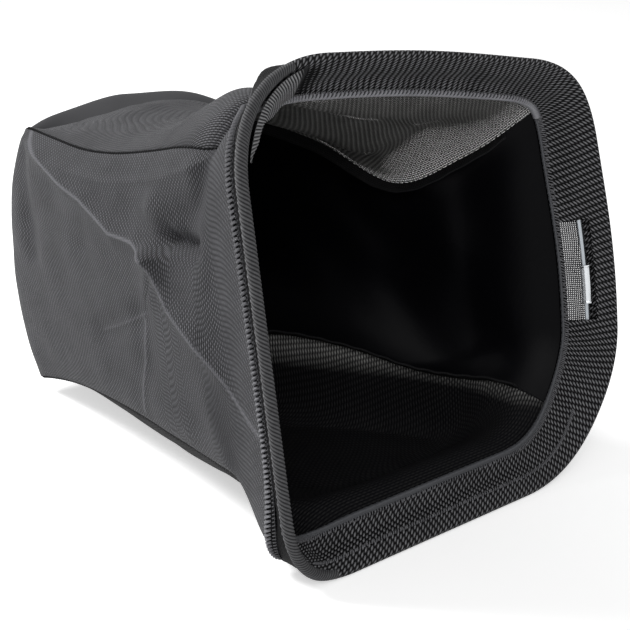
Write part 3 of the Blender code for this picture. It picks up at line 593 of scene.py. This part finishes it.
class Finish:
    """A material whose Principled shader is fed by expressions."""

    def __init__(self, name, **sockets):
        self.material = bpy.data.materials.new(name)
        self.material.use_nodes = True
        self.tree = self.material.node_tree
        self.shader = self.tree.nodes["Principled BSDF"]
        for socket, value in sockets.items():
            self.shader.inputs[socket.replace("_", " ")].default_value = value

    def node(self, kind, settings, *values, **named):
        """Adds a node, sets its settings first, then gives its sockets these values or links."""
        node = self.tree.nodes.new(kind)
        for setting, value in settings.items():
            setattr(node, setting, value)
        pairs = list(enumerate(values)) + list(named.items())
        for key, value in pairs:
            if isinstance(value, Amount):
                self.tree.links.new(value.socket, node.inputs[key])
            elif value is not None:
                node.inputs[key].default_value = value
        return node

    def cloth_place(self):
        """The two distances along the cloth, in metres."""
        uv = self.node("ShaderNodeUVMap", {"uv_map": "cloth"})
        split = self.node("ShaderNodeSeparateXYZ", {}, Amount(self, uv.outputs[0]))
        return Amount(self, split.outputs[0]), Amount(self, split.outputs[1])

    def object_place(self):
        """The object's own coordinates."""
        return Amount(self, self.node("ShaderNodeTexCoord", {}).outputs["Object"])

    def crease(self):
        """The painted light and shade that a sheet's crease attribute adds to the colour, or 0 where a mesh
        has none.
        """
        return Amount(self, self.node("ShaderNodeAttribute", {"attribute_name": "crease"}).outputs["Fac"])

    def noise(self, scale, detail=3.0):
        """Soft noise on the object's own coordinates, between 0 and 1."""
        made = self.node("ShaderNodeTexNoise", {}, Vector=self.object_place(), Scale=scale, Detail=detail)
        return Amount(self, made.outputs[0])

    def mixed(self, share, first, second):
        """Two colours mixed by a share."""
        made = self.node("ShaderNodeMix", {"data_type": "RGBA"}, share)
        made.inputs[6].default_value = (*first, 1.0)
        made.inputs[7].default_value = (*second, 1.0)
        return Amount(self, made.outputs[2])

    def feed(self, socket, amount):
        self.tree.links.new(amount.socket, self.shader.inputs[socket])

    def raise_by(self, height, metres, strength=1.0):
        """A Bump node: height times metres, into the shader's Normal."""
        bump = self.node("ShaderNodeBump", {}, Strength=strength, Distance=metres, Height=height)
        self.tree.links.new(bump.outputs[0], self.shader.inputs["Normal"])


# %% [markdown]
# ## The mesh
# The mesh is a plain weave of round monofilament about 2 mm apart. Each thread is a ridge over a whole
# number of the cloth's measure. Warp and weft take turns on top, which a product of two sines decides. Holes
# are where a point is far from both threads. Light comes through only in the upper gusset, by narrow slits,
# and behind the window.

# %% Woven finishes
def woven(name, dark, light, pitch=0.0021, open_from=None, gloss=0.4, height=0.0006, warp_share=1.0,
          weft_share=1.0, painted_shade_below=None, turns=0.35):
    """Warp threads run away from the mouth and weft threads round the bag. Open_from is how far from the
    middle of a warp and of a weft thread the holes start, 1 being halfway to the next. The shares are how
    much of each shows, and turns is how much higher the one on top is. Below a given height the colour is
    darkened, a painted shade for the shadow under the bag where the cloth lies on the ground."""
    finish = Finish(name, Roughness=0.62, Specular_IOR_Level=gloss)
    across, along = finish.cloth_place()
    x, y = across / pitch, along / pitch
    dx, dy = x.from_whole(), y.from_whole()
    if open_from:
        finish.feed("Alpha", 1.0 - (dx > open_from[0]) * (dy > open_from[1]))
    on_top = ((x + 0.5) * np.pi).sine() * ((y + 0.5) * np.pi).sine() * turns
    warp, weft = (1.0 - dx * dx + on_top) * warp_share, (1.0 - dy * dy - on_top) * weft_share
    finish.raise_by(warp.larger(weft), height)
    wear = finish.noise(38.0) * 0.6 + finish.noise(420.0) * 0.4
    shade = (wear * 0.9 + 0.25) * (warp.larger(weft) * 1.5 - 0.5) + finish.crease()
    # Painted shade: near the ground the cloth's colour is darkened for the shadow under the bag.
    if painted_shade_below is not None:
        height_up = finish.node("ShaderNodeSeparateXYZ", {}, finish.object_place()).outputs[2]
        shade = shade * ((Amount(finish, height_up) - painted_shade_below) / 0.02).larger(0.05).smaller(1.0)
    finish.feed("Base Color", finish.mixed(shade, dark, light))
    return finish.material


OPEN_FROM = (0.84, 0.25)
mesh_outside = woven(
    "mesh_outside", (0.004, 0.004, 0.005), (0.15, 0.15, 0.161), open_from=OPEN_FROM, gloss=0.2,
    height=0.0012, weft_share=0.50,
)
# Painted light: the mesh's inner face is a lighter copy of the outer one, for the light that comes through
# the cloth from outside.
mesh_inside_lit = woven(
    "mesh_inside_lit", (0.003, 0.003, 0.003), (0.23, 0.228, 0.222), open_from=OPEN_FROM, gloss=0.08,
    weft_share=0.42,
)
# Painted light and shade: the lower gusset is a closed, much lighter copy of the black mesh, for the light
# that comes through it, and darker near the ground.
lower_mesh_lit_and_shaded = woven(
    "lower_mesh_lit_and_shaded", (0.001, 0.001, 0.002), (0.35, 0.347, 0.338), pitch=0.0026, gloss=0.05,
    warp_share=0.42, painted_shade_below=0.048,
)
wall_mesh = woven(
    "wall_mesh", (0.003, 0.003, 0.0035), (0.15, 0.15, 0.163), gloss=0.18, height=0.0012,
    warp_share=0.45, weft_share=0.95, turns=0.45,
)
casing_mesh = woven(
    "casing_mesh", (0.0005, 0.0005, 0.0008), (0.3, 0.3, 0.315), pitch=0.0029, gloss=0.10,
    height=0.0014, warp_share=0.10, weft_share=0.85, turns=0.75,
)
far_casing_mesh = woven(
    "far_casing_mesh", (0.002, 0.002, 0.0025), (0.12, 0.12, 0.128), pitch=0.0019,
    open_from=(0.62, 0.62), gloss=0.15,
)
# Painted shade: a near-black cloth for the rows that lie in the groove behind the roll.
groove_painted_shade = woven("groove_painted_shade", (0.001, 0.001, 0.001), (0.01, 0.01, 0.011), gloss=0.05)
COATED_PITCH = 0.0011


def coated(name, dark, light, roughness, gloss):
    """A close weave under a rubbery coat: only faint ridges show, and broad patches are a little duller."""
    finish = Finish(name, Specular_IOR_Level=gloss)
    across, along = finish.cloth_place()
    per_metre = 2 * np.pi / COATED_PITCH
    ridges = (across * per_metre).sine() * 0.5 + (along * per_metre).sine() * 0.5
    finish.raise_by(ridges, 0.00008, 0.5)
    patches = finish.noise(9.0)
    finish.feed("Base Color", finish.mixed(patches, dark, light))
    finish.feed("Roughness", patches * 0.2 + (roughness - 0.1))
    return finish.material


coated_outside = coated("coated_outside", (0.03, 0.03, 0.032), (0.044, 0.044, 0.047), 0.75, 0.12)
# Painted shade: the coated cloth's inner face is a near-black copy of the outer one, for the shade inside the
# bag.
coated_inside_shaded = coated("coated_inside_shaded", (0.001, 0.001, 0.0015), (0.003, 0.003, 0.004), 0.30, 0.05)


# %% [markdown]
# ## The four panels
# Each panel is the bag's surface between two seams, fine enough for the thin creases. The lower gusset's
# layers are alike, and the others have a finish of their own inside. The near wall's first four creases have
# a painted highlight along them, and its first rows, in the groove behind the roll, have a painted shade.

# %% Panels
WALL_END, GUSSET_END = 0.9985, 0.985
NEAR_ROWS, NEAR_COLUMNS, GROOVE_ROWS = 250, 170, 5


def panel(node, slot, side, last, rows, columns, materials, **more):
    """The surface at evenly spaced places, from seam to seam and from the mouth to the last row."""
    s, f = np.linspace(0.0, last, rows)[:, None], np.linspace(0.0, 1.0, columns)
    return sheet_of_cloth(f"{node}_cloth", body_point(side + f, s, fine=1.0), materials, node, slot, **more)


s, up = np.linspace(0.0, WALL_END, NEAR_ROWS)[:, None], 1 - np.linspace(0.0, 1.0, NEAR_COLUMNS)
# Painted highlight: the first four crease lines are lightened in colour, most on the first.
lines = [(line, 1.3 - 0.35 * number, 0.0012) for number, (line, _, _) in enumerate(NEAR_WALL_CREASES[:4])]
near_wall = panel(
    "near_wall", "mesh_cloth", 3, WALL_END, NEAR_ROWS, NEAR_COLUMNS, [wall_mesh, mesh_inside_lit, groove_painted_shade],
    thickness=0.0008, crease=fold_height(*np.broadcast_arrays(s, up), lines),
    numbers=2 * (np.arange(NEAR_ROWS - 1)[:, None] < GROOVE_ROWS),
)
coated_wall = panel("coated_wall", "coated_cloth", 1, WALL_END, 170, 110, [coated_outside, coated_inside_shaded])
upper_gusset = panel("upper_gusset", "mesh_cloth", 2, GUSSET_END, 170, 120, [mesh_outside, mesh_inside_lit])
lower_gusset = panel("lower_gusset", "mesh_cloth", 0, GUSSET_END, 170, 120, [lower_mesh_lit_and_shaded, lower_mesh_lit_and_shaded])

# %% [markdown]
# ## The casing
# The doubled strip of mesh turns over at the lip. Its inner layer shows: round the near upper corner it is
# gathered into long ribs, and on the far side a window is cut in it, where the wire's ends meet. Behind the
# window the outer layer is an open mesh, and in the groove beside the roll it has a near-black painted shade.

# %% Casing cloth
def casing_grid(q, around_lip, outer_rows, inner_rows):
    """Rows of places from the outer layer's edge over the lip to the inner edge, for each q."""
    radius, last, width = lip_radius(q), outer_layer_end(q), casing_width(q)
    shares = np.linspace(1.0, 0.0, outer_rows, endpoint=False)
    outer = [radius + (last - radius) * share for share in shares]
    turns = np.radians(np.linspace(90.0, -90.0, around_lip))
    inner = [radius + (width - radius) * share for share in np.linspace(0.0, 1.0, inner_rows + 1)[1:]]
    depths = outer + [radius * (1 - np.cos(turn)) for turn in turns] + inner
    offsets = [casing_spread(q, depth) + corner_swell(q, depth) for depth in outer]
    offsets += [casing_spread(q, radius) * np.sin(turn) for turn in turns]
    offsets += [-casing_spread(q, depth) for depth in inner]
    return np.stack(depths, axis=1), np.stack(offsets, axis=1)


LIP_PLACES, AROUND_LIP, OUTER_ROWS, INNER_ROWS = 760, 11, 12, 24
ROW_SLANT, WINDOW_SHADE = -0.8, 0.02
q = np.linspace(0.0, 4.0, LIP_PLACES, endpoint=False)
depth, offset = casing_grid(q, AROUND_LIP, OUTER_ROWS, INNER_ROWS)
gathers = bell(q, 2.93, 0.13)[:, None] * smoothstep(0.004, 0.014, depth) * (offset < 0)
offset = offset + 0.0011 * gathers * np.sin(q[:, None] * 2 * np.pi * 62 + depth * 160)
uneven = ripples(q[:, None] * 0.36 + 0 * depth, depth, 33, 0.03)
offset = offset + 0.0006 * uneven * smoothstep(0.006, 0.02, depth)
trough = 0.0044 * between(0.02, 0.12, 0.60, 0.80, q) + 0.0026 * between(2.15, 2.35, 2.70, 2.85, q)
offset = offset + trough[:, None] * bell(depth, 0.027, 0.008)
grid = casing_point(q[:, None], depth, offset)
middle_q = (q + 2.0 / LIP_PLACES)[:, None]
middle_depth = (depth[:, 1:] + depth[:, :-1]) / 2
row = np.arange(grid.shape[1] - 1)
is_inner, is_outer = row > OUTER_ROWS + AROUND_LIP // 2, row < OUTER_ROWS - 1
in_window = (middle_q > WINDOW_START) & (middle_q < WINDOW_END) & is_inner
in_window &= (middle_depth > WINDOW_FRONT) & (middle_depth < FAR_CASING_WIDTH - WINDOW_MARGIN)
lip_length, cross_length = distance_along(casing_point(q, 0.0, 0.0), 0), distance_along(grid, 1)
uv = np.stack([cross_length, lip_length[:, None] + ROW_SLANT * cross_length], axis=-1)
behind_window = (middle_depth > WIRE_DEPTH_FAR) & (middle_q > WINDOW_START - WINDOW_SHADE)
behind_window &= middle_q < WINDOW_END + WINDOW_SHADE
# Painted shade: the outer layer's rows in the groove take the near-black groove cloth.
in_groove = ((middle_q > 2.86) | (middle_q < 0.06)) & (middle_depth > 2 * WIRE_SPREAD)
numbers = np.where(is_outer & behind_window, 2, np.where(is_outer & in_groove, 3, 0))
# Painted shadow: the inner layer is darkened where it folds beside the corner's gathers.
painted_fold_shadow = -0.8 * bell(q, 2.80, 0.030)[:, None] * smoothstep(0.004, 0.012, depth) * (offset < 0)
casing = sheet_of_cloth(
    "casing_cloth", grid, [casing_mesh, casing_mesh, far_casing_mesh, groove_painted_shade], "rim_casing",
    "casing_cloth", keep=~in_window, loop=True, uv=uv, crease=painted_fold_shadow, numbers=numbers,
)

# %% [markdown]
# ## Seams
# Where two cloths meet, their edges are turned inwards and sewn together, so a narrow strip stands
# inwards along each seam. It follows the line halfway between the two cloths.

# %% Seam allowances
tape = woven("seam_tape", (0.002, 0.002, 0.002), (0.016, 0.016, 0.017), pitch=0.0018, gloss=0.04)
edge_cloth = woven("edge_cloth", (0.03, 0.031, 0.034), (0.085, 0.088, 0.098), pitch=0.0008, height=0.0001)


def thread(name, dark, light, gloss=0.4):
    """Twisted thread: a weave so fine that it only roughens the surface."""
    return woven(name, dark, light, pitch=0.0005, gloss=gloss, height=0.0001)


ALLOWANCE_WIDTH, ALLOWANCE_THICKNESS, ALLOWANCE_GAP = 0.009, 0.0018, 0.0004
stitch_thread = thread("stitch_thread", (0.08, 0.08, 0.088), (0.21, 0.21, 0.225))
# Partly painted shade: a real seam thread, coloured near black for the crease's shade.
seam_shade_thread = thread("seam_shade_thread", (0.001, 0.001, 0.001), (0.006, 0.006, 0.007), gloss=0.1)
loop_thread = thread("loop_thread", (0.2, 0.2, 0.215), (0.42, 0.42, 0.45))
groove_thread = thread("groove_thread", (0.03, 0.03, 0.032), (0.06, 0.06, 0.066))


def allowance(node, root, before, after):
    """A strip from the seam inwards: inwards is square to the seam and to the line from cloth to cloth."""
    along = np.gradient(root, axis=0)
    across = unit(unit(after - root) - unit(before - root))
    inwards = unit(np.cross(across, along))
    reach = np.linspace(ALLOWANCE_GAP, ALLOWANCE_GAP + ALLOWANCE_WIDTH, 8)[:, None]
    wave = 0.0004 * np.sin(np.arange(len(root)) * 0.9)[:, None, None] * reach / ALLOWANCE_WIDTH
    grid = root[:, None] + inwards[:, None] * reach + across[:, None] * wave
    sheet_of_cloth(f"{node}_strip", grid, [tape, tape], node, "seam_tape", thickness=ALLOWANCE_THICKNESS)


NEIGHBOUR = 0.03
for node, q, start in (
    ("near_bottom_seam", 4.0, 0.18), ("far_bottom_seam", 1.0, 0.06), ("far_top_seam", 2.0, 0.06),
    ("near_top_seam", 3.0, 0.18),
):
    s = np.linspace(start, 0.93, 150)
    allowance(node, body_point(q, s), body_point(q - NEIGHBOUR, s), body_point(q + NEIGHBOUR, s))
up, s = np.linspace(0.05, 0.95, 90), 1.0 - NEIGHBOUR
allowance("end_seam", body_point(4.0 - up, 1.0), body_point(4.0 - up, s), body_point(1.0 + up, s))

# %% [markdown]
# On the outside a seam shows as a line of sunk stitches in the crease between its cloths; the thread is near
# black, a painted shade for the crease.

# %% Seam lines
SEAM_STITCH = 0.0045


def seam_line(name, q, start, radius):
    """A thread along the seam, which swells and thins once a stitch."""
    s = np.linspace(start, 0.985, 700)
    path = body_point(q, s, fine=1.0)[None]
    swell = np.sin(s * BAG_LENGTH * 2 * np.pi / SEAM_STITCH)
    threads(name, path, radius * (0.8 + 0.35 * swell), 8, seam_shade_thread)


seam_line("near_top_seam_line", 3.0, 0.03, 0.0015)
seam_line("near_bottom_seam_line", 4.0, 0.10, 0.0012)
seam_line("far_top_seam_line", 2.0, 0.03, 0.0010)
seam_line("far_bottom_seam_line", 1.0, 0.03, 0.0010)

# %% [markdown]
# ## The stitched rim
# On the near side the casing is rolled tight round the wire and bound with close slanting stitches, so the
# roll is ribbed like a rope, with painted shade between the ribs and painted light on them. Behind it lies a
# groove with a painted shade, and a lighter column of overlock loops.

# %% Rolled lip
ROLL_START, ROLL_END = 2.86, 4.10
RIB_PITCH, RIB_SLANT, RIB_HEIGHT = 0.0031, 0.90, 0.0009
NEAR_SIDE_LENGTH, ROLL_MEASURE = 0.39, 0.004
q = np.linspace(ROLL_START, ROLL_END, 1800)[:, None]
turn = np.radians(np.linspace(150.0, -150.0, 17))
length = q * NEAR_SIDE_LENGTH
rib = np.abs(np.sin(np.pi * (length / RIB_PITCH + turn * RIB_SLANT)))
fade = between(ROLL_START, 2.96, 4.03, ROLL_END, q)
roll = WIRE_SPREAD + CLOTH / 2 - 0.0004 + RIB_HEIGHT * rib * fade
grid = casing_point(q, WIRE_SPREAD - roll * np.cos(turn), roll * np.sin(turn) * 0.94)
uv = np.stack(np.broadcast_arrays(turn * ROLL_MEASURE, length), axis=-1)


def ribbed(name, dark, light, narrow=2.0):
    """Painted shade between the bound ribs and painted light on them, by the same phase as the ribs' shape.
    Narrow makes the light lines thinner."""
    finish = Finish(name, Roughness=0.6, Specular_IOR_Level=0.3)
    turned, length = finish.cloth_place()
    phase = length / RIB_PITCH + turned * (RIB_SLANT / ROLL_MEASURE)
    # Painted light and shade: the colour is lightest on the rib tops and darkest in the valleys.
    top = (phase * np.pi).sine().math("ABSOLUTE").math("POWER", narrow)
    fibres = (length * (2 * np.pi / 0.0006) + turned * (2 * np.pi / 0.0012)).sine()
    shade = top * (finish.noise(300.0) * 0.8 + 0.5) + fibres * 0.08 + finish.crease()
    finish.feed("Base Color", finish.mixed(shade, dark, light))
    finish.raise_by(fibres, 0.0001)
    return finish.material


roll_cloth = ribbed("roll_cloth", (0.003, 0.003, 0.004), (0.118, 0.118, 0.124))
sheet_of_cloth("rolled_lip", grid, [roll_cloth, roll_cloth], None, "casing_cloth", thickness=0.0004, uv=uv)

# %% [markdown]
# The casing is gathered where it turns the near upper corner: long ribs fan out from the wire over its
# inner layer, down to its edge. They are one more sheet, laid on that layer and waved by a sine.

# %% Gathers at the corner
GATHER_START, GATHER_END, FIRST_DEPTH = 2.82, 3.18, 0.0035
GATHER_PITCH, GATHER_SLANT, GATHER_HEIGHT = 0.0042, 0.63, 0.0026
q = np.linspace(GATHER_START, GATHER_END, 560)[:, None]
reach_at = (GATHER_START, 2.90, 2.98, 3.05, 3.12, GATHER_END)
reach = through(q[:, 0], reach_at, [[0.030], [0.033], [0.035], [0.024], [0.014], [0.009]])
way_down = FIRST_DEPTH + (reach - FIRST_DEPTH) * np.linspace(0.0, 1.0, 40)
phase = (q * NEAR_SIDE_LENGTH + way_down * GATHER_SLANT) / GATHER_PITCH
swell = between(GATHER_START, 2.86, 3.12, GATHER_END, q) * smoothstep(0.0, 0.010, way_down)
lift = 0.0010 + (0.0012 + GATHER_HEIGHT * np.abs(np.sin(np.pi * phase))) * swell
steeper = np.radians(FUNNEL_DEGREES[2] - around(q, *FUNNEL_DEGREES))
depth = way_down * np.cos(steeper)
grid = casing_point(q, depth, -casing_spread(q, depth) - lift - way_down * np.sin(steeper))
uv = np.stack([way_down, phase * RIB_PITCH - way_down * RIB_PITCH * RIB_SLANT / ROLL_MEASURE], axis=-1)
gather_cloth = ribbed("gather_cloth", (0.003, 0.003, 0.004), (0.36, 0.36, 0.37), narrow=3.5)
# Painted shadow: the gathers' first end is darkened where the cloth folds under.
gather_fold_shadow = -0.9 * (1 - smoothstep(GATHER_START, 2.865, q)) + 0 * depth
sheet_of_cloth(
    "corner_gathers", grid, [gather_cloth, gather_cloth], None, "casing_cloth", thickness=0.0004, uv=uv,
    crease=gather_fold_shadow,
)

# %% Zigzag in the groove, and the overlock loops beside it
GROOVE_LENGTH = 0.385


def rim_stitches(name, start, end, pitch, depths, lift, slant, radius, material, node=None):
    """Each stitch is a short arc from one depth to the other, slanting along the rim and raised between."""
    first = np.linspace(start, end, int((end - start) * GROOVE_LENGTH / pitch))[:, None]
    way = np.linspace(0.0, 1.0, 7)
    q = first + slant * way / GROOVE_LENGTH
    depth = outer_layer_end(q) + depths[0] + (depths[1] - depths[0]) * way
    offset = casing_spread(q, depth) + corner_swell(q, depth) + CLOTH / 2 + 0.0006
    offset = offset + lift * np.sin(np.pi * way)
    threads(name, casing_point(q, depth, offset), radius, 4, material, node)


rim_stitches(
    "zigzag_in_groove", 3.02, 3.96, 0.0030, (-0.0014, 0.0034), 0.0006, 0.0020, 0.0005, groove_thread,
    "rim_zigzag_stitch",
)
rim_stitches("overlock_loops", 3.0, 3.97, 0.0038, (0.0056, 0.0124), 0.0018, 0.0030, 0.00135, stitch_thread)
rim_stitches("overlock_edge", 3.0, 3.97, 0.0038, (0.0124, 0.0066), 0.0010, 0.0010, 0.0007, stitch_thread)

# %% Stitched inner edge of the casing
q = np.linspace(0.0, 4.0, 1100, endpoint=False)[None]
edge_depth = casing_width(q) - 0.0012
edge = casing_point(q, edge_depth, -casing_spread(q, edge_depth) - 0.0012)
edge_radius = around(q, 0.0027, 0.0014, 0.0014, 0.0013) + 0.0002 * np.sin(q * 2 * np.pi * 60)
threads("hem_edge_roll", edge, edge_radius, 8, edge_cloth, "hem_stitch", loop=True)


def inner_stitches(name, first, slant, line, start, run, lift, arch, radius, material):
    """Stitches on the inner layer. Each starts near a line of depths, runs back and is arched over it."""
    way = np.linspace(0.0, 1.0, 6)
    q = first[:, None] + slant * way
    depth = line(q) + start + run * way
    offset = -casing_spread(q, depth) - CLOTH / 2 - lift - arch * np.sin(np.pi * way)
    threads(name, casing_point(q, depth, offset), radius, 4, material)


inner_stitches(
    "hem_stitches", np.linspace(0.0, 4.0, 520, endpoint=False), 0.006, casing_width, -0.0062, 0.0050,
    0.0005, 0.0006, 0.00045, stitch_thread,
)
inner_stitches(
    "top_edge_loops", np.linspace(1.95, 2.86, 84), 0.012, casing_width, -0.0048, 0.0052,
    0.0010, 0.0022, 0.0008, loop_thread,
)
inner_stitches(
    "wire_ridge_stitches", np.linspace(0.02, 1.02, 150), 0.004, wire_depth, -0.0012, 0.0024,
    0.0002, 0.0005, 0.0005, stitch_thread,
)

# %% [markdown]

# %% [markdown]
# ## The wire
# The wire and its ferrule keep their solids. They are zinc plated: a grey metal with fine drawing marks
# along it, and a little duller in patches.

# %% Metal
def zinc(name, colour, roughness):
    """Grey metal with fine marks, a little darker and duller in patches."""
    finish = Finish(name, Metallic=1.0)
    marks = finish.noise(900.0, 2.0)
    patches = finish.noise(60.0)
    finish.feed("Roughness", patches * 0.2 + roughness)
    finish.feed("Base Color", finish.mixed(patches, tuple(c * 0.8 for c in colour), colour))
    finish.raise_by(marks, 0.00003)
    return finish.material


for node, name, colour, roughness in (
    ("mouth_wire", "zinc_wire", (0.42, 0.45, 0.48), 0.22),
    ("ferrule", "zinc_ferrule", (0.8, 0.83, 0.86), 0.14),
):
    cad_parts[node].data.materials.clear()
    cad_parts[node].data.materials.append(zinc(name, colour, roughness))

# %% [markdown]
# ## Floor and light
# The bag lies on a white floor in soft light. The camera, reflections and the weave's holes see plain
# white; the cloth itself is lit by a dimmer sky and two large lamps, so that dark cloth stays dark.

# %% Floor, sky and lamps
def white_where_seen(tree):
    """1 where the camera or a reflection sees the surface, and otherwise 0."""
    path = tree.nodes.new("ShaderNodeLightPath")
    seen = tree.nodes.new("ShaderNodeMath")
    seen.operation = "MAXIMUM"
    tree.links.new(path.outputs["Is Camera Ray"], seen.inputs[0])
    tree.links.new(path.outputs["Is Glossy Ray"], seen.inputs[1])
    return seen.outputs[0]


SKY_SEEN, SKY_LIGHT, FLOOR_GLOW = 1.0, 0.35, 0.52
world = bpy.data.worlds.new("sky")
bpy.context.scene.world = world
world.use_nodes = True
sky = world.node_tree.nodes["Background"]
sky.inputs["Color"].default_value = (1.0, 1.0, 1.0, 1.0)
strength = world.node_tree.nodes.new("ShaderNodeMath")
strength.operation = "MULTIPLY_ADD"
strength.inputs[1].default_value, strength.inputs[2].default_value = SKY_SEEN - SKY_LIGHT, SKY_LIGHT
world.node_tree.links.new(white_where_seen(world.node_tree), strength.inputs[0])
world.node_tree.links.new(strength.outputs[0], sky.inputs["Strength"])

floor_mesh = bpy.data.meshes.new("floor")
floor_mesh.from_pydata([(-6, -6, 0), (6, -6, 0), (6, 6, 0), (-6, 6, 0)], [], [(0, 1, 2, 3)])
floor = bpy.data.objects.new("floor", floor_mesh)
bpy.context.scene.collection.objects.link(floor)
floor_paint = Finish("floor_paint", Roughness=0.9, Base_Color=(0.93, 0.93, 0.93, 1.0), Specular_IOR_Level=0.0)
floor_paint.shader.inputs["Emission Strength"].default_value = FLOOR_GLOW
seen = Amount(floor_paint, white_where_seen(floor_paint.tree))
floor_paint.feed("Emission Color", floor_paint.mixed(seen, (0.0, 0.0, 0.0), (1.0, 1.0, 1.0)))
floor_mesh.materials.append(floor_paint.material)


def lamp(name, place, aim, size, power):
    """A square lamp that faces the place it is aimed at."""
    light = bpy.data.lights.new(name, "AREA")
    light.size, light.energy = size, power
    made = bpy.data.objects.new(name, light)
    facing = (mathutils.Vector(place) - mathutils.Vector(aim)).to_track_quat("Z", "Y")
    made.location, made.rotation_euler = place, facing.to_euler()
    bpy.context.scene.collection.objects.link(made)


lamp("key", (-1.1, 1.5, 1.8), (-0.1, 0.0, 0.15), 0.7, 56.0)
lamp("fill", (-1.3, -1.7, 1.9), (0.0, -0.1, 0.15), 1.4, 18.0)

# %% Picture settings
bpy.context.scene.view_settings.view_transform = "Standard"
